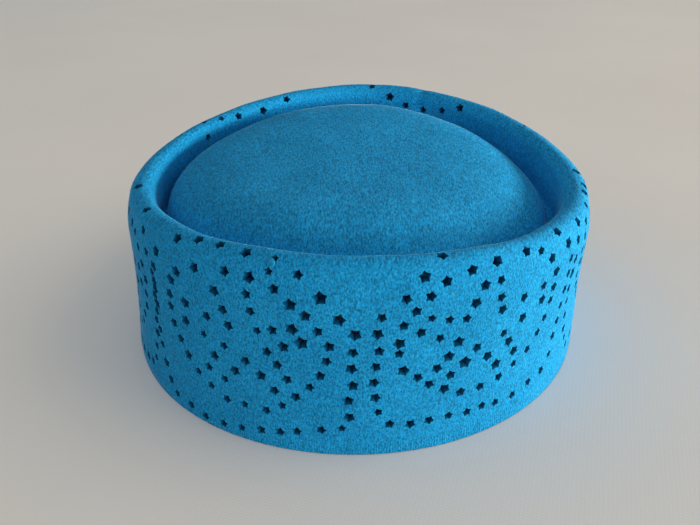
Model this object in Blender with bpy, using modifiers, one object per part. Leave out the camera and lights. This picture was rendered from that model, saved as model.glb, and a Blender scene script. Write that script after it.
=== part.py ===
"""Low round felt hat with a rolled rim, a groove and a domed crown, punched with flowers."""
import math

import bmesh
import bpy
from mathutils import Matrix, Vector

# Driving dimensions in metres. The hat stands on its hem, front towards -Y.
HALF_WIDTH = 0.0900
HALF_DEPTH = 0.0954
RIM_HEIGHT = 0.0688
FELT = 0.0024

# Wall: the hem flares out, and the top leans in a little below the roll of the rim.
HEM_HEIGHT = 0.0030
HEM_FLARE = 0.0024
FLARE_POWER = 1.84
LEAN_IN_HEIGHT = 0.0090
LEAN_IN = 0.0016
ROLL_HOLLOW = 0.0024
ROLL_RADIUS = FELT + ROLL_HOLLOW
STRAIGHT_HEIGHT = RIM_HEIGHT - ROLL_RADIUS
UPRIGHT_HEIGHT = STRAIGHT_HEIGHT - LEAN_IN_HEIGHT

# The rim dips at the sides, more on the right, and leans a little. The plan is slightly
# three-cornered.
SIDE_DIP = 0.0031
LEAN_RIGHT = 0.0024
LEAN_FRONT = 0.0021
RIM_TILT = 0.0014
PLAN_LOBE = 0.011

# Groove inside the rim, and the crown that rises from it.
GROOVE_DEPTH = 0.0183
GROOVE_RADIUS = 0.0017
INNER_WALL_LEAN = 0.0002
CROWN_RISE = 0.0178
CROWN_POWER = 7.5
CROWN_LEFT = 0.0046
CROWN_BACK = 0.0020
GROOVE_HEIGHT = RIM_HEIGHT - GROOVE_DEPTH
GROOVE_INSET = LEAN_IN + 2 * ROLL_RADIUS + INNER_WALL_LEAN
CROWN_INSET = GROOVE_INSET + 2 * GROOVE_RADIUS

# Rings and columns of the mesh. Heights are shares of the upright wall.
COLUMNS = 60
WALL_SHARES = (0.33, 0.67, 1.0)
ROLL_STEPS = 5
GROOVE_STEPS = 3
CROWN_SCALES = (0.98, 0.93, 0.83, 0.62, 0.32)
PLAN_STEPS = 720

# Punched flowers: two holes at the tip of each petal and one in the valley after it.
PETALS = 5
FLOWER_TURN = math.radians(8)
TIP_RADIUS = 0.0185
TIP_SPREAD = math.radians(16)
VALLEY_RADIUS = 0.0075
PUNCH_RADIUS = 0.0017
PUNCH_SIDES = 5
PUNCH_CLEARANCE = 0.0011
FRAME_STEP = 0.0005

# One row for each panel, going right from the front: its centre as a share of the way round
# and of the straight wall's height, and how far the felt is stretched sideways there.
PANELS = (
    {"round": -0.0554, "up": 0.60, "stretch": 1.20},
    {"round": 0.0826, "up": 0.67, "stretch": 1.20},
    {"round": 0.2174, "up": 0.69, "stretch": 1.00},
    {"round": 0.3363, "up": 0.72, "stretch": 1.00},
    {"round": 0.4552, "up": 0.77, "stretch": 1.00},
    {"round": 0.5741, "up": 0.62, "stretch": 1.00},
    {"round": 0.6933, "up": 0.61, "stretch": 1.00},
    {"round": 0.8121, "up": 0.60, "stretch": 1.00},
)

FELT_BLUE = (0.022, 0.235, 0.480, 1.0)
FELT_ROUGHNESS = 0.95


def clear_scene():
    for item in list(bpy.data.objects):
        bpy.data.objects.remove(item, do_unlink=True)


def new_collection(name):
    collection = bpy.data.collections.new(name)
    bpy.context.scene.collection.children.link(collection)
    return collection


def plan_point(angle):
    """Plan of the wall at its upright part, moved so that front and back reach equally far."""
    lobe = 1 - PLAN_LOBE * math.sin(3 * angle)
    centring = PLAN_LOBE * HALF_DEPTH
    return Vector((HALF_WIDTH * math.cos(angle) * lobe, HALF_DEPTH * math.sin(angle) * lobe - centring, 0))


def plan_normal(angle):
    step = math.pi / PLAN_STEPS
    along = plan_point(angle + step) - plan_point(angle - step)
    return Vector((along.y, -along.x, 0)).normalized()


def crown_share(scale):
    """Share of the crown's rise that is reached at a scale."""
    return math.sqrt(1 - scale ** CROWN_POWER)


def felt_point(angle, inset, height, scale=1.0):
    """Point of the outer face, from its inset, its height, and its scale towards the middle."""
    rise = max(0.0, (height - HEM_HEIGHT) / (RIM_HEIGHT - HEM_HEIGHT))
    crown_rise = crown_share(scale)
    point = (plan_point(angle) - plan_normal(angle) * inset) * scale
    point.x += LEAN_RIGHT * rise - CROWN_LEFT * crown_rise
    point.y += CROWN_BACK * crown_rise - LEAN_FRONT * rise
    dip = SIDE_DIP * scale ** 2 * math.cos(2 * angle) + RIM_TILT * scale * math.cos(angle)
    point.z = height - rise * dip
    return point


def wall_inset(height):
    if height <= UPRIGHT_HEIGHT:
        above_hem = max(0.0, height - HEM_HEIGHT) / (UPRIGHT_HEIGHT - HEM_HEIGHT)
        return -HEM_FLARE * (1 - above_hem) ** FLARE_POWER
    return LEAN_IN * ((height - UPRIGHT_HEIGHT) / LEAN_IN_HEIGHT) ** 2


def roll_station(turn):
    inset = LEAN_IN + ROLL_RADIUS * (1 - math.cos(turn))
    return inset, STRAIGHT_HEIGHT + ROLL_RADIUS * math.sin(turn)


def groove_station(turn):
    inset = GROOVE_INSET + GROOVE_RADIUS * (1 - math.cos(turn))
    return inset, GROOVE_HEIGHT - GROOVE_RADIUS * math.sin(turn)


def stations():
    """Inset, height and scale of each ring, from the hem over the rim towards the crown."""
    heights = [0.0, HEM_HEIGHT]
    heights += [HEM_HEIGHT + share * (UPRIGHT_HEIGHT - HEM_HEIGHT) for share in WALL_SHARES]
    heights.append(STRAIGHT_HEIGHT)
    rows = [(wall_inset(height), height, 1.0) for height in heights]
    for step in range(1, ROLL_STEPS + 1):
        rows.append((*roll_station(math.pi * step / ROLL_STEPS), 1.0))
    for step in range(GROOVE_STEPS + 1):
        rows.append((*groove_station(math.pi * step / GROOVE_STEPS), 1.0))
    for scale in CROWN_SCALES:
        rows.append((CROWN_INSET, GROOVE_HEIGHT + CROWN_RISE * crown_share(scale), scale))
    return rows


def build_felt(collection):
    """One sheet lofted through the stations and thickened inwards."""
    mesh = bmesh.new()
    rings = []
    for station in stations():
        angles = [2 * math.pi * column / COLUMNS for column in range(COLUMNS)]
        rings.append([mesh.verts.new(felt_point(angle, *station)) for angle in angles])
    middle = mesh.verts.new(felt_point(0, CROWN_INSET, GROOVE_HEIGHT + CROWN_RISE, 0.0))
    for low, high in zip(rings, rings[1:]):
        for column in range(COLUMNS):
            after = (column + 1) % COLUMNS
            mesh.faces.new((low[column], low[after], high[after], high[column]))
    for column in range(COLUMNS):
        mesh.faces.new((rings[-1][column], rings[-1][(column + 1) % COLUMNS], middle))
    data = bpy.data.meshes.new("felt_hat")
    mesh.to_mesh(data)
    mesh.free()
    data.shade_smooth()
    felt = bpy.data.objects.new("felt_hat", data)
    collection.objects.link(felt)
    shell = felt.modifiers.new("felt thickness", "SOLIDIFY")
    shell.thickness = FELT
    shell.offset = -1
    shell.use_even_offset = True
    return felt


def plan_lengths():
    """Distance along the plan from the front, at evenly spaced angles going right."""
    angles = [2 * math.pi * step / PLAN_STEPS - math.pi / 2 for step in range(PLAN_STEPS + 1)]
    lengths = [0.0]
    for near, far in zip(angles, angles[1:]):
        lengths.append(lengths[-1] + (plan_point(far) - plan_point(near)).length)
    return lengths


def angle_along(lengths, along):
    along = along % lengths[-1]
    index = max(step for step, length in enumerate(lengths[:-1]) if length <= along)
    part = (along - lengths[index]) / (lengths[index + 1] - lengths[index])
    return 2 * math.pi * (index + part) / PLAN_STEPS - math.pi / 2


def wall_point(lengths, along, up):
    """Point of the outer face at a distance round and a distance up, which goes on over the roll."""
    angle = angle_along(lengths, along)
    if up <= STRAIGHT_HEIGHT:
        return felt_point(angle, wall_inset(up), up)
    return felt_point(angle, *roll_station((up - STRAIGHT_HEIGHT) / ROLL_RADIUS))


def punch_frame(lengths, along, up):
    """Place and outward turn of one punched hole."""
    place = wall_point(lengths, along, up)
    right = wall_point(lengths, along + FRAME_STEP, up) - place
    above = wall_point(lengths, along, up + FRAME_STEP) - place
    outward = right.cross(above).normalized()
    sideways = above.cross(outward).normalized()
    turn = Matrix((sideways, outward.cross(sideways), outward)).transposed()
    return Matrix.Translation(place) @ turn.to_4x4()


def flower_holes(panel, circumference):
    """Distances round and up for the holes of one flower."""
    for petal in range(PETALS):
        tip = math.pi / 2 + FLOWER_TURN + 2 * math.pi * petal / PETALS
        holes = (
            (TIP_RADIUS, tip - TIP_SPREAD),
            (TIP_RADIUS, tip + TIP_SPREAD),
            (VALLEY_RADIUS, tip + math.pi / PETALS),
        )
        for radius, turn in holes:
            along = panel["round"] * circumference + panel["stretch"] * radius * math.cos(turn)
            yield along, panel["up"] * STRAIGHT_HEIGHT + radius * math.sin(turn)


def build_punches(collection):
    """Cutters for the punched holes, in one mesh of separate pegs."""
    lengths = plan_lengths()
    mesh = bmesh.new()
    for panel in PANELS:
        for along, up in flower_holes(panel, lengths[-1]):
            bmesh.ops.create_cone(
                mesh,
                cap_ends=True,
                segments=PUNCH_SIDES,
                radius1=PUNCH_RADIUS,
                radius2=PUNCH_RADIUS,
                depth=2 * (FELT + PUNCH_CLEARANCE),
                matrix=punch_frame(lengths, along, up),
            )
    data = bpy.data.meshes.new("punches")
    mesh.to_mesh(data)
    mesh.free()
    punches = bpy.data.objects.new("punches", data)
    punches.hide_render = True
    punches.display_type = "WIRE"
    collection.objects.link(punches)
    return punches


def punch_holes(felt, punches):
    cut = felt.modifiers.new("punched holes", "BOOLEAN")
    cut.operation = "DIFFERENCE"
    cut.solver = "EXACT"
    cut.object = punches


def felt_material():
    material = bpy.data.materials.new("blue felt")
    material.use_nodes = True
    shader = material.node_tree.nodes["Principled BSDF"]
    shader.inputs["Base Color"].default_value = FELT_BLUE
    shader.inputs["Roughness"].default_value = FELT_ROUGHNESS
    shader.inputs["Metallic"].default_value = 0.0
    return material


clear_scene()
hat = build_felt(new_collection("felt pillbox hat"))
hat.data.materials.append(felt_material())
punch_holes(hat, build_punches(new_collection("cutters")))
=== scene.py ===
"""Blue felt hat with a rolled rim, a domed crown and punched panels, standing on a pale cloth."""
import math
import random

import bmesh
import bpy
from mathutils import Matrix, Vector, kdtree, noise


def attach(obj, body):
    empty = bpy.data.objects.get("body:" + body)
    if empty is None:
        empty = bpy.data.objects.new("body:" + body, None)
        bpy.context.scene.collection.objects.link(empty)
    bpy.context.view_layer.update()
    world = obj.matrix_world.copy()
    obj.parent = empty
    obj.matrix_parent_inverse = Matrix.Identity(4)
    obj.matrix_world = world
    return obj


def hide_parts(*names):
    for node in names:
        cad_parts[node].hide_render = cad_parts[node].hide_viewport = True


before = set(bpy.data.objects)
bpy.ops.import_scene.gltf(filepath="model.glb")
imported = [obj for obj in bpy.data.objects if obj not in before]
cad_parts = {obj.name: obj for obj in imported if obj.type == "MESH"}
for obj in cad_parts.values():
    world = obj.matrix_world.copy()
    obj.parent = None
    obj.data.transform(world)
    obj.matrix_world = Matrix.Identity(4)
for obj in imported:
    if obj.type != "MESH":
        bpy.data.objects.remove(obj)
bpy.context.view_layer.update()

# Dimensions of the build, in metres.
HALF_WIDTH = 0.0900
HALF_DEPTH = 0.0954
RIM_HEIGHT = 0.0688
FELT = 0.0024
HEM_HEIGHT = 0.0030
HEM_FLARE = 0.0024
FLARE_POWER = 1.84
LEAN_IN_HEIGHT = 0.0090
LEAN_IN = 0.0016
ROLL_HOLLOW = 0.0024
ROLL_RADIUS = FELT + ROLL_HOLLOW
STRAIGHT_HEIGHT = RIM_HEIGHT - ROLL_RADIUS
UPRIGHT_HEIGHT = STRAIGHT_HEIGHT - LEAN_IN_HEIGHT
SIDE_DIP = 0.0031
LEAN_RIGHT = 0.0024
LEAN_FRONT = 0.0021
RIM_TILT = 0.0014
PLAN_LOBE = 0.011
GROOVE_DEPTH = 0.0183
GROOVE_RADIUS = 0.0017
INNER_WALL_LEAN = 0.0002
CROWN_RISE = 0.0178
CROWN_POWER = 7.5
CROWN_LEFT = 0.0046
CROWN_BACK = 0.0020
GROOVE_HEIGHT = RIM_HEIGHT - GROOVE_DEPTH
GROOVE_INSET = LEAN_IN + 2 * ROLL_RADIUS + INNER_WALL_LEAN
CROWN_INSET = GROOVE_INSET + 2 * GROOVE_RADIUS
PLAN_STEPS = 720

# Mesh of the felt.
COLUMNS = 300
WALL_ROWS = 26
LEAN_ROWS = 4
ROLL_ROWS = 12
INNER_ROWS = 5
GROOVE_ROWS = 7
CROWN_ROWS = 22
CROWN_SPACING = 2.2
HEM_SHARES = (0.33, 0.67)
SHARP_ANGLE = math.radians(38)

# Unevenness of the felt, slow and quick: its height, how far apart the swells lie, where in the
# noise it is taken from, and the height at which it is full.
SWELL = 0.00045
SWELL_SPAN = 0.022
SWELL_START = 0.012
SWELL_PLACE = (3.1, 7.7, 1.3)
RIPPLE = 0.00012
RIPPLE_SPAN = 0.006
RIPPLE_PLACE = (5.9, 0.4, 8.2)

# Soft crease across the roll of the rim at the back: distances round and along the profile, and
# how many widths to each side it is still worked out.
CREASE_ROUND = 0.262
CREASE_FROM = 0.072
CREASE_TO = 0.092
CREASE_WIDTH = 0.0022
CREASE_DEPTH = 0.0011
CREASE_REACH = 3

# Ribs pressed into the hem.
HEM_RIBS = 640
HEM_RIB_HEIGHT = 0.0055

# Tone of the felt in the groove, set against the scene's lights and not seen as a colour of its
# own: how much lighter it is, how far along the profile it ends, and where it fades in and out.
GROOVE_TONE = 1.35
GROOVE_TONE_END = 0.120
GROOVE_TONE_STOPS = (
    {"share": 0.64, "tone": 1.0},
    {"share": 0.73, "tone": GROOVE_TONE},
    {"share": 0.90, "tone": GROOVE_TONE},
    {"share": 1.0, "tone": 1.0},
)

# Star punch: its reach low on the wall and high on it, its waist, how unevenly it is placed, and
# the soft lip it leaves, as a height over the face and a share of the reach.
STAR_TIPS = 5
STAR_LOW = 0.00165
STAR_HIGH = 0.00195
STAR_WAIST = 0.65
WAIST_FLARE = 0.10
STAR_SEED = 5
STAR_VARIATION = 0.09
HAND_VARIATION = 0.35
CUT_DEPTH = 0.0036
LIP = (
    {"level": 0.0012, "flare": 1.60},
    {"level": 0.0003, "flare": 1.24},
    {"level": -0.0003, "flare": 1.04},
    {"level": -0.0008, "flare": 0.95},
    {"level": -0.0024, "flare": 0.82},
    {"level": -CUT_DEPTH, "flare": 0.78},
)

# Hole that tore instead of cutting clean: two small holes with a tongue of felt between them.
TORN_ROUND = -20.6
TORN_UP = 66.8
TORN_SPAN = 5.0
TORN_TURN = 0.3
TORN_HOLES = (
    {"right": 0.8, "up": 2.0, "reach": 0.00115},
    {"right": -0.6, "up": -2.1, "reach": 0.00130},
)

# Tongue in the torn hole, in millimetres: its rings and their corners, its width as a part of a
# wave, its middle line from start to end, its flatness, and how ragged it is.
TONGUE_STEPS = 6
TONGUE_CORNERS = 8
TONGUE_WIDTH = 1.20
TONGUE_LEAST = 0.05
TONGUE_WAVE = (0.15, 0.80)
TONGUE_DRIFT = 0.3
TONGUE_START = 1.9
TONGUE_RUN = 3.2
TONGUE_LIFT = 0.80
TONGUE_BEND = 2.3
TONGUE_SINK = 0.15
TONGUE_FLATNESS = 0.25
TONGUE_RAGGED = 0.35
TONGUE_RAG_SPAN = 0.9
TONGUE_SEED = 7

# Nap: loose fibres that lie over the felt, with their length, thickness and slope, the way they
# tend to lie, how far they keep from a hole, and the lowest that a tip may be.
FIBRES = 58000
FIBRE_SHORT = 0.00035
FIBRE_LONG = 0.00085
FIBRE_THICK = 0.000045
FIBRE_RIDGE = 1.6
FIBRE_RISE = (0.25, 0.75)
FIBRE_DRIFT = (0, -0.3, -0.9)
FIBRE_SEED = 11
FIBRE_SIDES = ((0, 2), (2, 1), (1, 0))
FIBRE_CLEAR = 0.0021
FIBRE_LOWEST = 0.0004

# Panels: centre in millimetres round the wall from the front and up it, chart of holes, sideways
# stretch, the height above which a panel has no holes, and how large its punch is.
PANELS = (
    {"round": -32.3, "up": 38.3, "chart": "left", "stretch": 1.00, "top": 79.0, "punch": 1.00},
    {"round": 49.3, "up": 42.8, "chart": "right", "stretch": 1.00, "top": 79.0, "punch": 0.95},
    {"round": 127.6, "up": 44.5, "chart": "left", "stretch": 0.83, "top": 71.0, "punch": 1.00},
    {"round": 197.4, "up": 46.0, "chart": "right", "stretch": 0.83, "top": 71.0, "punch": 1.00},
    {"round": 267.2, "up": 49.7, "chart": "left", "stretch": 0.83, "top": 71.0, "punch": 1.00},
    {"round": 337.0, "up": 40.0, "chart": "right", "stretch": 0.83, "top": 71.0, "punch": 1.00},
    {"round": 407.0, "up": 39.0, "chart": "left", "stretch": 0.83, "top": 71.0, "punch": 1.00},
    {"round": 476.7, "up": 38.0, "chart": "right", "stretch": 0.83, "top": 71.0, "punch": 1.00},
)

# Rows of holes in a panel, in millimetres from its centre. Each row runs from one end to the
# other, right and up, with a number of holes and a bow outwards at its middle.
ROWS = {
    "left": (
        {"start": (37, -22.5), "end": (37, 7.5), "holes": 6, "bow": 0.0},
        {"start": (33, 13), "end": (20.5, 25.5), "holes": 3, "bow": 0.6},
        {"start": (9, 28.5), "end": (2.5, 30.5), "holes": 2, "bow": 0.0},
        {"start": (-8.5, 32.3), "end": (-26.5, 29.5), "holes": 3, "bow": 0.6},
        {"start": (-36.5, 22.5), "end": (-34.5, -29), "holes": 9, "bow": 5.5},
        {"start": (-30, -34), "end": (-7.5, -34.5), "holes": 4, "bow": 0.0},
        {"start": (0.5, -33.5), "end": (34, -28), "holes": 6, "bow": 0.0},
        {"start": (-3.5, 24), "end": (12.5, 21.5), "holes": 3, "bow": 0.8},
        {"start": (18, 17), "end": (30, 3), "holes": 4, "bow": 1.5},
        {"start": (29.7, -2.5), "end": (15.5, -21), "holes": 5, "bow": 1.0},
        {"start": (8.5, -23.5), "end": (-5.5, -23.5), "holes": 3, "bow": 0.5},
        {"start": (-12, -20.5), "end": (-29, -2.5), "holes": 5, "bow": 2.0},
        {"start": (-30, 3.5), "end": (-28, 14), "holes": 3, "bow": 1.0},
        {"start": (-24.5, 19), "end": (-16, 22.5), "holes": 2, "bow": 0.0},
    ),
    "right": (
        {"start": (-36, -25.5), "end": (-37, 3.5), "holes": 6, "bow": 1.3},
        {"start": (-36, 9.5), "end": (-17, 27.8), "holes": 4, "bow": 0.0},
        {"start": (-8, 32.5), "end": (24, 32.5), "holes": 4, "bow": 1.5},
        {"start": (32, 25.5), "end": (39.5, 13.5), "holes": 3, "bow": 0.7},
        {"start": (40.5, 7), "end": (34.5, -25.5), "holes": 6, "bow": 0.7},
        {"start": (30, -30), "end": (6.5, -32), "holes": 4, "bow": 0.8},
        {"start": (0.8, -31.5), "end": (-32, -31), "holes": 6, "bow": 0.0},
        {"start": (0.7, 23.5), "end": (-16, 19.5), "holes": 3, "bow": 0.0},
        {"start": (-21.3, 15), "end": (-30.5, 0), "holes": 4, "bow": 1.4},
        {"start": (-30.3, -4), "end": (-14.8, -19.5), "holes": 5, "bow": 2.6},
        {"start": (-8.5, -22.5), "end": (19, -15.5), "holes": 5, "bow": 2.5},
        {"start": (23.5, -10.5), "end": (30.2, 6.5), "holes": 4, "bow": 1.6},
        {"start": (28.9, 12), "end": (13.5, 23.5), "holes": 4, "bow": 3.5},
    ),
}

# Petals of each flower, in millimetres from the panel's centre: the valley before a petal and
# the two corners of its tip. Holes stand at these points and halfway along each petal's sides.
FLOWERS = {
    "left": (
        {"valley": (-3.5, 5.5), "tips": ((-7.5, 16.5), (3, 18.5))},
        {"valley": (7, 6), "tips": ((18, 8.5), (21.5, 4))},
        {"valley": (10, -1), "tips": ((17.2, -10), (12.2, -15))},
        {"valley": (2.5, -6), "tips": ((-6, -16.5), (-12.8, -13.5))},
        {"valley": (-5.5, -3), "tips": ((-22.5, 1.5), (-21.5, 7.5))},
    ),
    "right": (
        {"valley": (-9, 5.5), "tips": ((-4, 17), (2.7, 17))},
        {"valley": (3.5, 6), "tips": ((22.7, 9), (23, 3))},
        {"valley": (6, -3.5), "tips": ((12, -12.5), (4.5, -15))},
        {"valley": (-3.3, -6.5), "tips": ((-13.2, -14), (-17.5, -11))},
        {"valley": (-10.8, -2.5), "tips": ((-23.9, 3.5), (-20.7, 8))},
    ),
}

# Rows that run over the roll of the rim at the back, in millimetres round from the front and up.
RIM_ROWS = (
    {"start": (237.6, 76.7), "end": (291, 73.6), "holes": 6, "bow": 7.0},
    {"start": (341, 76.3), "end": (373, 77.1), "holes": 3, "bow": 0.8},
    {"start": (384, 74), "end": (397, 79.5), "holes": 2, "bow": 0.0},
)

# Colours of the felt, of the painted shade on the walls of its punched holes, of its loose fibres and
# of the cloth.
FELT_DEEP = (0.0040, 0.220, 0.495, 1.0)
FELT_PALE = (0.0070, 0.260, 0.565, 1.0)
FLECK = (0.030, 0.400, 0.640, 1.0)
FLECK_SHARE = 0.42
STREAK_DARK = 0.58
STREAK_LIGHT = 1.38
# Painted shade: the walls of the punched holes are a darker blue than the felt, standing in for the
# shade inside the holes.
HOLE_SHADE_DEEP = (0.0020, 0.070, 0.180, 1.0)
HOLE_SHADE_PALE = (0.0040, 0.115, 0.270, 1.0)
NAP_DEEP = (0.012, 0.270, 0.560, 1.0)
NAP_PALE = (0.060, 0.400, 0.690, 1.0)
CLOTH_DEEP = (0.86, 0.820, 0.815, 1.0)
CLOTH_PALE = (0.90, 0.860, 0.850, 1.0)
SHEEN_TINT = (0.62, 0.86, 0.95, 1.0)

# Grain of the felt: how many cells of noise there are to a metre, from clouds to single fibres.
CLOUDS = 55
MOTTLE = 420
FIBRE_GRAIN = 1900
FLECK_GRAIN = 1300
BRUSHED_WALL = (1.0, 1.0, 0.55)
BRUSHED_TOP = (1.0, 0.24, 1.0)
RIB_DRIFT_GRAIN = 240
RIB_DRIFT = 9.0
CUT_GRAIN = 1500
NAP_GRAIN = 260

# Weave of the cloth: its threads each way, how strong the second is, and its turn.
CLOTH_CLOUDS = 5
WARP_THREADS = 235
WEFT_THREADS = 300
WEFT_SHARE = 0.7
CLOTH_TURN = math.radians(14)
THREAD_UNEVEN = 1.6
THREAD_DETAIL = 1.0
THREAD_DETAIL_SCALE = 0.6

# Cloth that the hat stands on: its reach, its height, and the curve that it rises in behind.
FLOOR_REACH = 4.0
FLOOR_HEIGHT = -0.0002
BEND_FROM = 2.2
BEND_RADIUS = 0.8
BEND_STEPS = 8
BACKDROP_TOP = 2.5

# Lights, each aimed at the hat. One that is marked cloth lights only the cloth, and the others
# leave the cloth out.
LIGHT_TARGET = (0, 0, 0.04)
DAYLIGHT = (1.0, 1.0, 0.86)
LAMPLIGHT = (1.0, 0.80, 0.55)
LIGHTS = (
    {
        "name": "window",
        "place": (1.02, -0.637, 0.185),
        "size": (1.2, 0.14),
        "watts": 12.4,
        "colour": DAYLIGHT,
        "cloth": False,
    },
    {
        "name": "side_window",
        "place": (0.545, 0.083, 0.150),
        "size": (0.34, 0.10),
        "watts": 2.9,
        "colour": DAYLIGHT,
        "cloth": False,
    },
    {
        "name": "room_light",
        "place": (1.2, -0.1, 1.1),
        "size": (1.2, 1.2),
        "watts": 6.5,
        "colour": LAMPLIGHT,
        "cloth": True,
    },
)
ROOM_STRENGTH = 0.56
ROOM_LOW = (1.06, 1.11, 1.08, 1.0)
ROOM_HIGH = (0.70, 0.74, 0.72, 1.0)

# Camera at the photo's place and angle.
CAMERA_PLACE = (0.02079, -0.26675, 0.17171)
CAMERA_YAW = -0.0871
CAMERA_PITCH = 0.5231
CAMERA_ROLL = -0.0168
CAMERA_LENS = 36.0
SENSOR_WIDTH = 36.0
CAMERA_CLIP = 0.01

MM = 0.001


def plan_point(angle):
    """Plan of the wall at its upright part, moved so that front and back reach equally far."""
    lobe = 1 - PLAN_LOBE * math.sin(3 * angle)
    centring = PLAN_LOBE * HALF_DEPTH
    across = HALF_WIDTH * math.cos(angle) * lobe
    along = HALF_DEPTH * math.sin(angle) * lobe - centring
    return Vector((across, along, 0))


def plan_normal(angle):
    step = math.pi / PLAN_STEPS
    along = plan_point(angle + step) - plan_point(angle - step)
    return Vector((along.y, -along.x, 0)).normalized()


def crown_share(scale):
    """Share of the crown's rise that is reached at a scale."""
    return math.sqrt(1 - scale ** CROWN_POWER)


def felt_point(angle, inset, height, scale=1.0):
    """Point of the outer face, from its inset, its height, and its scale towards the middle."""
    rise = max(0.0, (height - HEM_HEIGHT) / (RIM_HEIGHT - HEM_HEIGHT))
    crown_rise = crown_share(scale)
    point = (plan_point(angle) - plan_normal(angle) * inset) * scale
    point.x += LEAN_RIGHT * rise - CROWN_LEFT * crown_rise
    point.y += CROWN_BACK * crown_rise - LEAN_FRONT * rise
    dip = SIDE_DIP * scale ** 2 * math.cos(2 * angle) + RIM_TILT * scale * math.cos(angle)
    point.z = height - rise * dip
    return point


def wall_inset(height):
    if height <= UPRIGHT_HEIGHT:
        above_hem = max(0.0, height - HEM_HEIGHT) / (UPRIGHT_HEIGHT - HEM_HEIGHT)
        return -HEM_FLARE * (1 - above_hem) ** FLARE_POWER
    return LEAN_IN * ((height - UPRIGHT_HEIGHT) / LEAN_IN_HEIGHT) ** 2


def roll_station(turn):
    inset = LEAN_IN + ROLL_RADIUS * (1 - math.cos(turn))
    return inset, STRAIGHT_HEIGHT + ROLL_RADIUS * math.sin(turn)


def groove_station(turn):
    inset = GROOVE_INSET + GROOVE_RADIUS * (1 - math.cos(turn))
    return inset, GROOVE_HEIGHT - GROOVE_RADIUS * math.sin(turn)


def stations():
    """Inset, height and scale of each ring, from the hem over the rim towards the crown."""
    heights = [0.0] + [HEM_HEIGHT * share for share in HEM_SHARES]
    for step in range(WALL_ROWS + 1):
        heights.append(HEM_HEIGHT + (UPRIGHT_HEIGHT - HEM_HEIGHT) * step / WALL_ROWS)
    for step in range(1, LEAN_ROWS + 1):
        heights.append(UPRIGHT_HEIGHT + LEAN_IN_HEIGHT * step / LEAN_ROWS)
    rows = [(wall_inset(height), height, 1.0) for height in heights]
    for step in range(1, ROLL_ROWS + 1):
        rows.append((*roll_station(math.pi * step / ROLL_ROWS), 1.0))
    inner_top = Vector(roll_station(math.pi))
    inner_foot = Vector(groove_station(0))
    for step in range(1, INNER_ROWS):
        rows.append((*inner_top.lerp(inner_foot, step / INNER_ROWS), 1.0))
    for step in range(GROOVE_ROWS + 1):
        rows.append((*groove_station(math.pi * step / GROOVE_ROWS), 1.0))
    for step in range(1, CROWN_ROWS):
        scale = 1 - (step / CROWN_ROWS) ** CROWN_SPACING
        rows.append((CROWN_INSET, GROOVE_HEIGHT + CROWN_RISE * crown_share(scale), scale))
    return rows


def plan_lengths():
    """Distance along the plan from the front, at evenly spaced angles going right."""
    angles = [2 * math.pi * step / PLAN_STEPS - math.pi / 2 for step in range(PLAN_STEPS + 1)]
    lengths = [0.0]
    for near, far in zip(angles, angles[1:]):
        lengths.append(lengths[-1] + (plan_point(far) - plan_point(near)).length)
    return lengths


def angle_along(lengths, along):
    along = along % lengths[-1]
    index = max(step for step, length in enumerate(lengths[:-1]) if length <= along)
    part = (along - lengths[index]) / (lengths[index + 1] - lengths[index])
    return 2 * math.pi * (index + part) / PLAN_STEPS - math.pi / 2


def swell(point):
    """Height of the slow unevenness at a point, which fades towards the hem."""
    slow = noise.noise(point / SWELL_SPAN + Vector(SWELL_PLACE))
    quick = noise.noise(point / RIPPLE_SPAN + Vector(RIPPLE_PLACE))
    fade = min(1.0, point.z / SWELL_START)
    return (SWELL * slow + RIPPLE * quick) * fade * fade


def crease(turn, level):
    """Depth of the crease at the back of the rim, at an angle from its middle."""
    offset = turn * HALF_DEPTH / CREASE_WIDTH
    along = (level - CREASE_FROM) / (CREASE_TO - CREASE_FROM)
    if abs(offset) > CREASE_REACH or not 0 < along < 1:
        return 0.0
    return CREASE_DEPTH * math.exp(-offset * offset) * math.sin(math.pi * along)


def build_felt(lengths):
    """Fine sheet through the stations, made uneven as pressed felt is, and thickened inwards."""
    mesh = bmesh.new()
    flat = mesh.loops.layers.uv.new("wall")
    rings = []
    runs = []
    run = 0.0
    before = None
    for station in stations():
        front = felt_point(-math.pi / 2, *station)
        run += (front - before).length if before else 0.0
        before = front
        runs.append(run)
        angles = [2 * math.pi * column / COLUMNS for column in range(COLUMNS)]
        rings.append([mesh.verts.new(felt_point(angle, *station)) for angle in angles])
    middle = mesh.verts.new(felt_point(0, CROWN_INSET, GROOVE_HEIGHT + CROWN_RISE, 0.0))
    for row in range(len(rings) - 1):
        low, high = rings[row], rings[row + 1]
        for column in range(COLUMNS):
            after = (column + 1) % COLUMNS
            face = mesh.faces.new((low[column], low[after], high[after], high[column]))
            corners = ((column, row), (column + 1, row), (column + 1, row + 1), (column, row + 1))
            for loop, (across, level) in zip(face.loops, corners):
                loop[flat].uv = (across / COLUMNS, runs[level])
    for column in range(COLUMNS):
        face = mesh.faces.new((rings[-1][column], rings[-1][(column + 1) % COLUMNS], middle))
        for loop in face.loops:
            loop[flat].uv = (0.5, runs[-1])
    mesh.normal_update()
    crease_middle = angle_along(lengths, CREASE_ROUND)
    shifts = []
    for ring, level in zip(rings, runs):
        for column, vertex in enumerate(ring):
            turn = 2 * math.pi * column / COLUMNS - crease_middle
            push = swell(vertex.co) - crease(turn, level)
            shifts.append((vertex, vertex.normal * push))
    for vertex, shift in shifts:
        vertex.co += shift
    data = bpy.data.meshes.new("felt_body")
    mesh.to_mesh(data)
    mesh.free()
    data.shade_smooth()
    felt = bpy.data.objects.new("felt_body", data)
    bpy.context.scene.collection.objects.link(felt)
    shell = felt.modifiers.new("felt thickness", "SOLIDIFY")
    shell.thickness = FELT
    shell.offset = -1
    shell.use_even_offset = True
    return felt


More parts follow.
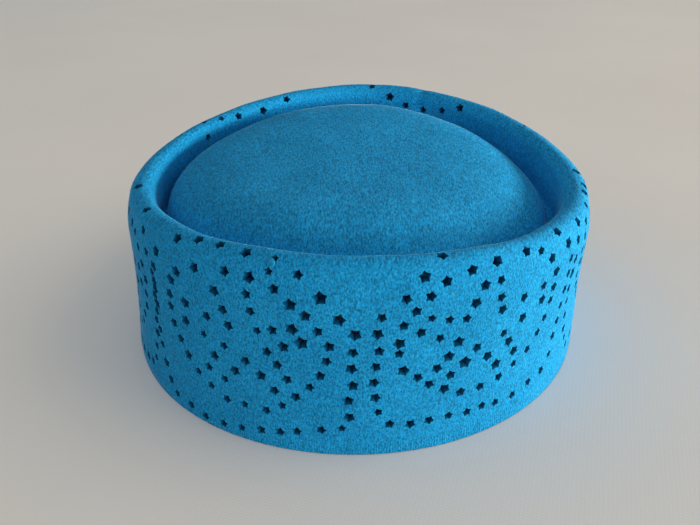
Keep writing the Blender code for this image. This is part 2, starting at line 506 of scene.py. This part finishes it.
def row_points(row):
    """Evenly spaced points of a row, which bows away from the panel's centre."""
    start = Vector(row["start"])
    run = Vector(row["end"]) - start
    side = Vector((run.y, -run.x)).normalized()
    outward = math.copysign(row["bow"], side.dot(start + run / 2))
    for hole in range(row["holes"]):
        part = hole / (row["holes"] - 1)
        yield start + run * part + side * outward * 4 * part * (1 - part)


def flower_points(petals):
    """Holes at every corner of a flower and halfway along each petal's sides."""
    for petal, following in zip(petals, petals[1:] + petals[:1]):
        near = Vector(petal["valley"])
        first, second = (Vector(tip) for tip in petal["tips"])
        yield near
        yield (near + first) / 2
        yield first
        yield second
        yield (second + Vector(following["valley"])) / 2


def hole_places():
    """Distance round and up, in metres, of every punched hole, and its share of the usual size."""
    for panel in PANELS:
        points = [point for row in ROWS[panel["chart"]] for point in row_points(row)]
        points += flower_points(FLOWERS[panel["chart"]])
        for point in points:
            along = panel["round"] + panel["stretch"] * point.x
            up = panel["up"] + point.y
            torn = math.hypot(along - TORN_ROUND, up - TORN_UP) < TORN_SPAN
            if up < panel["top"] and not torn:
                yield along * MM, up * MM, panel["punch"]
    for row in RIM_ROWS:
        for point in row_points(row):
            yield point.x * MM, point.y * MM, 1.0


def wall_point(lengths, along, up):
    """Point of the outer face at a distance round and a distance up, which goes on over the roll."""
    angle = angle_along(lengths, along)
    roll_length = math.pi * ROLL_RADIUS
    if up <= STRAIGHT_HEIGHT:
        return felt_point(angle, wall_inset(up), up)
    if up <= STRAIGHT_HEIGHT + roll_length:
        return felt_point(angle, *roll_station((up - STRAIGHT_HEIGHT) / ROLL_RADIUS))
    return felt_point(angle, GROOVE_INSET, STRAIGHT_HEIGHT - (up - STRAIGHT_HEIGHT - roll_length))


def wall_frame(lengths, along, up):
    """Place and outward turn of a spot on the wall."""
    step = 0.5 * MM
    place = wall_point(lengths, along, up)
    right = wall_point(lengths, along + step, up) - place
    above = wall_point(lengths, along, up + step) - place
    outward = right.cross(above).normalized()
    sideways = above.cross(outward).normalized()
    turn = Matrix((sideways, outward.cross(sideways), outward)).transposed()
    return Matrix.Translation(place) @ turn.to_4x4()


def add_star(mesh, place, reach, turn):
    """One star-shaped peg that flares where it leaves the felt."""
    count = 2 * STAR_TIPS
    rings = []
    for edge in LIP:
        flare = edge["flare"]
        radii = (reach * flare, reach * (STAR_WAIST * flare + WAIST_FLARE * (flare - 1)))
        ring = []
        for corner in range(count):
            radius = radii[corner % 2]
            angle = turn + math.pi * corner / STAR_TIPS
            spot = Vector((radius * math.cos(angle), radius * math.sin(angle), edge["level"]))
            ring.append(mesh.verts.new(place @ spot))
        rings.append(ring)
    mesh.faces.new(rings[0])
    mesh.faces.new(reversed(rings[-1]))
    for high, low in zip(rings, rings[1:]):
        for corner in range(count):
            after = (corner + 1) % count
            mesh.faces.new((high[corner], low[corner], low[after], high[after]))


def build_stars(lengths):
    """Pegs for all the holes, a little uneven as holes punched by hand are."""
    spread = random.Random(STAR_SEED)
    mesh = bmesh.new()
    for along, up, share in hole_places():
        along += spread.gauss(0, HAND_VARIATION) * MM
        up += spread.gauss(0, HAND_VARIATION) * MM
        high = min(1.0, up / STRAIGHT_HEIGHT)
        reach = (STAR_LOW + (STAR_HIGH - STAR_LOW) * high) * share * spread.gauss(1, STAR_VARIATION)
        add_star(mesh, wall_frame(lengths, along, up), reach, spread.uniform(0, 2 * math.pi))
    for hole in TORN_HOLES:
        place = wall_frame(lengths, (TORN_ROUND + hole["right"]) * MM, (TORN_UP + hole["up"]) * MM)
        add_star(mesh, place, hole["reach"], TORN_TURN)
    bmesh.ops.recalc_face_normals(mesh, faces=mesh.faces)
    data = bpy.data.meshes.new("stars")
    mesh.to_mesh(data)
    mesh.free()
    stars = bpy.data.objects.new("stars", data)
    bpy.context.scene.collection.objects.link(stars)
    return stars


def punch(felt, stars):
    """Cut the stars out of the felt and keep the result as plain mesh."""
    cut = felt.modifiers.new("punched holes", "BOOLEAN")
    cut.operation = "DIFFERENCE"
    cut.solver = "MANIFOLD"
    cut.material_mode = "TRANSFER"
    cut.object = stars
    graph = bpy.context.evaluated_depsgraph_get()
    finished = bpy.data.meshes.new_from_object(felt.evaluated_get(graph))
    felt.modifiers.clear()
    felt.data = finished
    finished.set_sharp_from_angle(angle=SHARP_ANGLE)
    bpy.data.objects.remove(stars, do_unlink=True)


def build_tongue(lengths):
    """Small tongue of torn felt that stands up between the two torn holes."""
    noise.seed_set(TONGUE_SEED)
    place = wall_frame(lengths, TORN_ROUND * MM, TORN_UP * MM)
    mesh = bmesh.new()
    rings = []
    for step in range(TONGUE_STEPS + 1):
        part = step / TONGUE_STEPS
        wave = math.sin(math.pi * (TONGUE_WAVE[0] + TONGUE_WAVE[1] * part))
        width = (TONGUE_WIDTH * wave + TONGUE_LEAST) * MM
        along = (TONGUE_START - TONGUE_RUN * part) * MM
        lift = (TONGUE_LIFT * math.sin(TONGUE_BEND * part) - TONGUE_SINK) * MM
        centre = Vector((TONGUE_DRIFT * part * MM, along, lift))
        ring = []
        for corner in range(TONGUE_CORNERS):
            turn = 2 * math.pi * corner / TONGUE_CORNERS
            depth = TONGUE_FLATNESS * width * math.sin(turn)
            spot = centre + Vector((width * math.cos(turn), 0, depth))
            spot += noise.noise_vector(spot / (TONGUE_RAG_SPAN * MM)) * TONGUE_RAGGED * MM
            ring.append(mesh.verts.new(place @ spot))
        rings.append(ring)
    mesh.faces.new(rings[0])
    mesh.faces.new(reversed(rings[-1]))
    for low, high in zip(rings, rings[1:]):
        for corner in range(TONGUE_CORNERS):
            after = (corner + 1) % TONGUE_CORNERS
            mesh.faces.new((low[corner], high[corner], high[after], low[after]))
    bmesh.ops.recalc_face_normals(mesh, faces=mesh.faces)
    data = bpy.data.meshes.new("torn_tongue")
    mesh.to_mesh(data)
    mesh.free()
    data.shade_smooth()
    tongue = bpy.data.objects.new("torn_tongue", data)
    bpy.context.scene.collection.objects.link(tongue)
    return tongue


def build_nap(sheet, lengths):
    """Short loose fibres lying at a slope over the outer face, clear of the holes."""
    spread = random.Random(FIBRE_SEED)
    holes = [wall_point(lengths, along, up) for along, up, share in hole_places()]
    near = kdtree.KDTree(len(holes))
    for index, hole in enumerate(holes):
        near.insert(hole, index)
    near.balance()
    faces = sheet.polygons
    areas = [face.area for face in faces]
    points = []
    for face in spread.choices(faces, weights=areas, k=FIBRES):
        corners = [sheet.vertices[index].co for index in face.vertices]
        across, upward = spread.random(), spread.random()
        last = corners[3] if len(corners) == 4 else corners[2]
        root = corners[0].lerp(corners[1], across).lerp(last.lerp(corners[2], across), upward)
        if near.find(root)[2] < FIBRE_CLEAR:
            continue
        lean = Vector([spread.gauss(0, 1) for axis in range(3)]) + Vector(FIBRE_DRIFT)
        lean = (lean - face.normal * lean.dot(face.normal)).normalized()
        rise = face.normal * spread.uniform(*FIBRE_RISE)
        tip = root + (lean + rise).normalized() * spread.uniform(FIBRE_SHORT, FIBRE_LONG)
        if tip.z < FIBRE_LOWEST:
            continue
        side = lean.cross(face.normal) * FIBRE_THICK
        foot = root - face.normal * FIBRE_THICK
        ridge = foot + lean * FIBRE_THICK * FIBRE_RIDGE + face.normal * FIBRE_THICK * FIBRE_RIDGE
        points += (foot + side, foot - side, ridge, tip)
    sides = []
    for first in range(0, len(points), 4):
        sides += [(first + a, first + b, first + 3) for a, b in FIBRE_SIDES]
    data = bpy.data.meshes.new("felt_nap")
    data.from_pydata(points, [], sides)
    nap = bpy.data.objects.new("felt_nap", data)
    bpy.context.scene.collection.objects.link(nap)
    return nap


class Nodes:
    """Short calls for building one material's nodes."""

    def __init__(self, name):
        self.material = bpy.data.materials.new(name)
        self.material.use_nodes = True
        self.tree = self.material.node_tree
        self.shader = self.tree.nodes["Principled BSDF"]

    def add(self, kind, **settings):
        node = self.tree.nodes.new(kind)
        for name, value in settings.items():
            setattr(node, name, value)
        return node

    def link(self, source, target):
        self.tree.links.new(source, target)

    def feed(self, socket, value):
        """Link the socket to another node's, or set its own value."""
        if isinstance(value, bpy.types.NodeSocket):
            self.link(value, socket)
        else:
            socket.default_value = value

    def surface(self, values):
        """Set values on the shader's own sockets."""
        for name, value in values.items():
            self.shader.inputs[name].default_value = value

    def noise(self, vector, scale, detail=2.0, roughness=0.5):
        node = self.add("ShaderNodeTexNoise")
        node.inputs["Scale"].default_value = scale
        node.inputs["Detail"].default_value = detail
        node.inputs["Roughness"].default_value = roughness
        self.link(vector, node.inputs["Vector"])
        return node.outputs["Fac"]

    def stretch(self, vector, scale):
        node = self.add("ShaderNodeMapping")
        node.inputs["Scale"].default_value = scale
        self.link(vector, node.inputs["Vector"])
        return node.outputs["Vector"]

    def ramp(self, value, stops):
        node = self.add("ShaderNodeValToRGB")
        elements = node.color_ramp.elements
        while len(elements) < len(stops):
            elements.new(0.5)
        for element, (position, colour) in zip(elements, stops):
            element.position = position
            element.color = colour
        self.link(value, node.inputs["Fac"])
        return node.outputs["Color"]

    def mix(self, kind, factor, first, second):
        node = self.add("ShaderNodeMix", data_type="RGBA", blend_type=kind)
        self.feed(node.inputs["Factor"], factor)
        self.feed(node.inputs[6], first)
        self.feed(node.inputs[7], second)
        return node.outputs[2]

    def facing_up(self):
        """Share from 0 on the wall to 1 on the crown and the top of the rim."""
        normal = self.add("ShaderNodeTexCoord").outputs["Normal"]
        parts = self.add("ShaderNodeSeparateXYZ")
        self.link(normal, parts.inputs["Vector"])
        return self.ramp(parts.outputs["Z"], ((0.40, grey(0.0)), (0.70, grey(1.0))))

    def weave(self, direction, vector, scale):
        """Slightly uneven threads that run one way."""
        node = self.add("ShaderNodeTexWave", bands_direction=direction)
        node.inputs["Scale"].default_value = scale
        node.inputs["Distortion"].default_value = THREAD_UNEVEN
        node.inputs["Detail"].default_value = THREAD_DETAIL
        node.inputs["Detail Scale"].default_value = THREAD_DETAIL_SCALE
        self.link(vector, node.inputs["Vector"])
        return node.outputs["Fac"]

    def wall_place(self):
        """Share of the way round, and the distance along the profile from the hem."""
        flat = self.add("ShaderNodeUVMap", uv_map="wall")
        parts = self.add("ShaderNodeSeparateXYZ")
        self.link(flat.outputs["UV"], parts.inputs["Vector"])
        return parts

    def groove_tone(self):
        """Lighter tone in the groove, to make up for lights that reach it too little."""
        level = self.maths("DIVIDE", self.wall_place().outputs["Y"], GROOVE_TONE_END)
        return self.ramp(level, [(stop["share"], grey(stop["tone"])) for stop in GROOVE_TONE_STOPS])

    def hem_ribs(self):
        """Fine upright ribs pressed into the last millimetres of the hem."""
        parts = self.wall_place()
        place = self.add("ShaderNodeTexCoord").outputs["Object"]
        drift = self.maths("MULTIPLY", self.noise(place, RIB_DRIFT_GRAIN, 1.0, 0.5), RIB_DRIFT)
        turn = self.maths("MULTIPLY", parts.outputs["X"], 2 * math.pi * HEM_RIBS)
        wave = self.maths("SINE", self.maths("ADD", turn, drift), 0.0)
        near = self.maths("DIVIDE", parts.outputs["Y"], HEM_RIB_HEIGHT)
        fade = self.ramp(near, ((0.35, grey(1.0)), (1.0, grey(0.0))))
        return self.maths("MULTIPLY", wave, fade)

    def maths(self, kind, first, second):
        node = self.add("ShaderNodeMath", operation=kind)
        self.feed(node.inputs[0], first)
        self.feed(node.inputs[1], second)
        return node.outputs["Value"]

    def bump(self, height, strength, distance, before=None):
        node = self.add("ShaderNodeBump")
        node.inputs["Strength"].default_value = strength
        node.inputs["Distance"].default_value = distance
        self.link(height, node.inputs["Height"])
        if before:
            self.link(before, node.inputs["Normal"])
        return node.outputs["Normal"]


def grey(value):
    return (value, value, value, 1.0)


def felt_material():
    nodes = Nodes("blue_felt")
    place = nodes.add("ShaderNodeTexCoord").outputs["Object"]
    clouds = nodes.noise(place, CLOUDS, 3.0, 0.55)
    mottle = nodes.noise(place, MOTTLE, 2.0, 0.5)
    nap = nodes.noise(place, FLECK_GRAIN, 1.0, 0.5)
    streaks = nodes.mix(
        "MIX",
        nodes.facing_up(),
        nodes.noise(nodes.stretch(place, BRUSHED_WALL), FIBRE_GRAIN, 1.0, 0.5),
        nodes.noise(nodes.stretch(place, BRUSHED_TOP), FIBRE_GRAIN, 1.0, 0.5),
    )
    base = nodes.ramp(clouds, ((0.30, FELT_DEEP), (0.70, FELT_PALE)))
    fine = nodes.ramp(mottle, ((0.30, grey(0.91)), (0.70, grey(1.07))))
    coarse = nodes.mix("MULTIPLY", 1.0, base, fine)
    drawn = nodes.ramp(streaks, ((0.32, grey(STREAK_DARK)), (0.68, grey(STREAK_LIGHT))))
    toned = nodes.mix("MULTIPLY", 1.0, coarse, nodes.groove_tone())
    streaked = nodes.mix("MULTIPLY", 1.0, toned, drawn)
    flecks = nodes.ramp(nap, ((0.56, grey(0.0)), (0.72, grey(1.0))))
    light = nodes.maths("MULTIPLY", flecks, FLECK_SHARE)
    colour = nodes.mix("MIX", light, streaked, FLECK)
    nodes.link(colour, nodes.shader.inputs["Base Color"])
    rough = nodes.bump(mottle, 0.30, 0.00035)
    brushed = nodes.bump(streaks, 0.35, 0.00030, rough)
    hairy = nodes.bump(nap, 0.45, 0.00022, brushed)
    ribbed = nodes.bump(nodes.hem_ribs(), 0.35, 0.00022, hairy)
    nodes.link(ribbed, nodes.shader.inputs["Normal"])
    nodes.surface(
        {
            "Subsurface Weight": 0.25,
            "Subsurface Radius": (0.3, 0.8, 1.0),
            "Subsurface Scale": 0.0025,
            "Roughness": 0.95,
            "Specular IOR Level": 0.15,
            "Sheen Weight": 0.45,
            "Sheen Roughness": 0.12,
            "Sheen Tint": SHEEN_TINT,
        }
    )
    return nodes.material


# Painted shade inside the holes: the walls of the punched holes get a darker blue, with a little grain,
# in place of the shade that falls there.
def hole_shade_material():
    nodes = Nodes("hole_wall_shade")
    place = nodes.add("ShaderNodeTexCoord").outputs["Object"]
    shade = nodes.noise(place, CUT_GRAIN, 1.0, 0.5)
    colour = nodes.ramp(shade, ((0.35, HOLE_SHADE_DEEP), (0.65, HOLE_SHADE_PALE)))
    nodes.link(colour, nodes.shader.inputs["Base Color"])
    nodes.link(nodes.bump(shade, 0.4, 0.0002), nodes.shader.inputs["Normal"])
    nodes.surface({"Roughness": 1.0, "Specular IOR Level": 0.05})
    return nodes.material


def nap_material():
    nodes = Nodes("blue_nap")
    place = nodes.add("ShaderNodeTexCoord").outputs["Object"]
    shade = nodes.noise(place, NAP_GRAIN, 1.0, 0.5)
    colour = nodes.ramp(shade, ((0.30, NAP_DEEP), (0.70, NAP_PALE)))
    nodes.link(colour, nodes.shader.inputs["Base Color"])
    nodes.surface({"Roughness": 0.8, "Specular IOR Level": 0.1})
    return nodes.material


def cloth_material():
    nodes = Nodes("pale_cloth")
    place = nodes.add("ShaderNodeTexCoord").outputs["Object"]
    clouds = nodes.noise(place, CLOTH_CLOUDS, 2.0, 0.5)
    colour = nodes.ramp(clouds, ((0.30, CLOTH_DEEP), (0.70, CLOTH_PALE)))
    nodes.link(colour, nodes.shader.inputs["Base Color"])
    turned = nodes.add("ShaderNodeMapping")
    turned.inputs["Rotation"].default_value = (0, 0, CLOTH_TURN)
    nodes.link(place, turned.inputs["Vector"])
    warp = nodes.weave("X", turned.outputs["Vector"], WARP_THREADS)
    weft = nodes.weave("Y", turned.outputs["Vector"], WEFT_THREADS)
    ribs = nodes.maths("ADD", warp, nodes.maths("MULTIPLY", weft, WEFT_SHARE))
    nodes.link(nodes.bump(ribs, 0.12, 0.00016), nodes.shader.inputs["Normal"])
    nodes.surface({"Roughness": 0.9, "Specular IOR Level": 0.2})
    return nodes.material


def build_floor():
    """Wide pale cloth that curves up far behind the hat."""
    mesh = bmesh.new()
    profile = [(-FLOOR_REACH, FLOOR_HEIGHT), (BEND_FROM, FLOOR_HEIGHT)]
    for step in range(1, BEND_STEPS + 1):
        turn = math.pi / 2 * step / BEND_STEPS
        profile.append((BEND_FROM + BEND_RADIUS * math.sin(turn), BEND_RADIUS * (1 - math.cos(turn))))
    profile.append((BEND_FROM + BEND_RADIUS, BACKDROP_TOP))
    for near, far in zip(profile, profile[1:]):
        corners = [
            (-FLOOR_REACH, *near),
            (FLOOR_REACH, *near),
            (FLOOR_REACH, *far),
            (-FLOOR_REACH, *far),
        ]
        mesh.faces.new([mesh.verts.new(corner) for corner in corners])
    bmesh.ops.remove_doubles(mesh, verts=mesh.verts, dist=0.0001)
    data = bpy.data.meshes.new("pale_cloth")
    mesh.to_mesh(data)
    mesh.free()
    data.shade_smooth()
    floor = bpy.data.objects.new("pale_cloth", data)
    bpy.context.scene.collection.objects.link(floor)
    floor.data.materials.append(cloth_material())
    return floor


def add_camera():
    yaw, pitch, roll = CAMERA_YAW, CAMERA_PITCH, CAMERA_ROLL
    ahead = Vector((math.sin(yaw) * math.cos(pitch), math.cos(yaw) * math.cos(pitch), -math.sin(pitch)))
    level = ahead.cross(Vector((0, 0, 1))).normalized()
    upward = level.cross(ahead)
    right = level * math.cos(roll) + upward * math.sin(roll)
    above = upward * math.cos(roll) - level * math.sin(roll)
    camera = bpy.data.objects.new("camera", bpy.data.cameras.new("camera"))
    bpy.context.scene.collection.objects.link(camera)
    camera.data.sensor_width = SENSOR_WIDTH
    camera.data.lens = CAMERA_LENS
    camera.data.clip_start = CAMERA_CLIP
    turn = Matrix((right, above, -ahead)).transposed()
    camera.matrix_world = Matrix.Translation(CAMERA_PLACE) @ turn.to_4x4()
    bpy.context.scene.camera = camera


def linked_cloth(name, floor, state):
    """Collection that leaves the cloth out of what a light falls on, or has only the cloth in it."""
    group = bpy.data.collections.new(name)
    group.objects.link(floor)
    group.collection_objects[0].light_linking.link_state = state
    return group


def add_light(row, receivers):
    """One soft rectangular light, aimed at the hat."""
    light = bpy.data.lights.new(row["name"], "AREA")
    light.shape = "RECTANGLE"
    light.size, light.size_y = row["size"]
    light.energy = row["watts"]
    light.color = row["colour"]
    lamp = bpy.data.objects.new(row["name"], light)
    lamp.visible_camera = False
    bpy.context.scene.collection.objects.link(lamp)
    lamp.location = row["place"]
    aim = Vector(LIGHT_TARGET) - Vector(row["place"])
    lamp.rotation_euler = aim.to_track_quat("-Z", "Y").to_euler()
    lamp.light_linking.receiver_collection = receivers


def add_world():
    world = bpy.data.worlds.new("soft_room")
    world.use_nodes = True
    background = world.node_tree.nodes["Background"]
    background.inputs["Strength"].default_value = ROOM_STRENGTH
    links = world.node_tree.links
    ray = world.node_tree.nodes.new("ShaderNodeTexCoord")
    parts = world.node_tree.nodes.new("ShaderNodeSeparateXYZ")
    shade = world.node_tree.nodes.new("ShaderNodeValToRGB")
    shade.color_ramp.elements[0].color = ROOM_LOW
    shade.color_ramp.elements[1].color = ROOM_HIGH
    links.new(ray.outputs["Generated"], parts.inputs["Vector"])
    links.new(parts.outputs["Z"], shade.inputs["Fac"])
    links.new(shade.outputs["Color"], background.inputs["Color"])
    bpy.context.scene.world = world


add_camera()
add_world()
cloth = build_floor()
all_but_cloth = linked_cloth("all_but_cloth", cloth, "EXCLUDE")
only_cloth = linked_cloth("only_cloth", cloth, "INCLUDE")
for row in LIGHTS:
    add_light(row, only_cloth if row["cloth"] else all_but_cloth)

plan = plan_lengths()
felt = felt_material()
hat = build_felt(plan)
hat.data.materials.append(felt)
nap = build_nap(hat.data, plan)
nap.data.materials.append(nap_material())
stars = build_stars(plan)
# The pegs pass their painted hole shade on to the walls of the holes when they are cut out.
stars.data.materials.append(hole_shade_material())
punch(hat, stars)
tongue = build_tongue(plan)
tongue.data.materials.append(felt)
for piece in (hat, nap, tongue):
    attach(piece, "root")
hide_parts("felt_hat")

bpy.context.scene.view_settings.view_transform = "Standard"
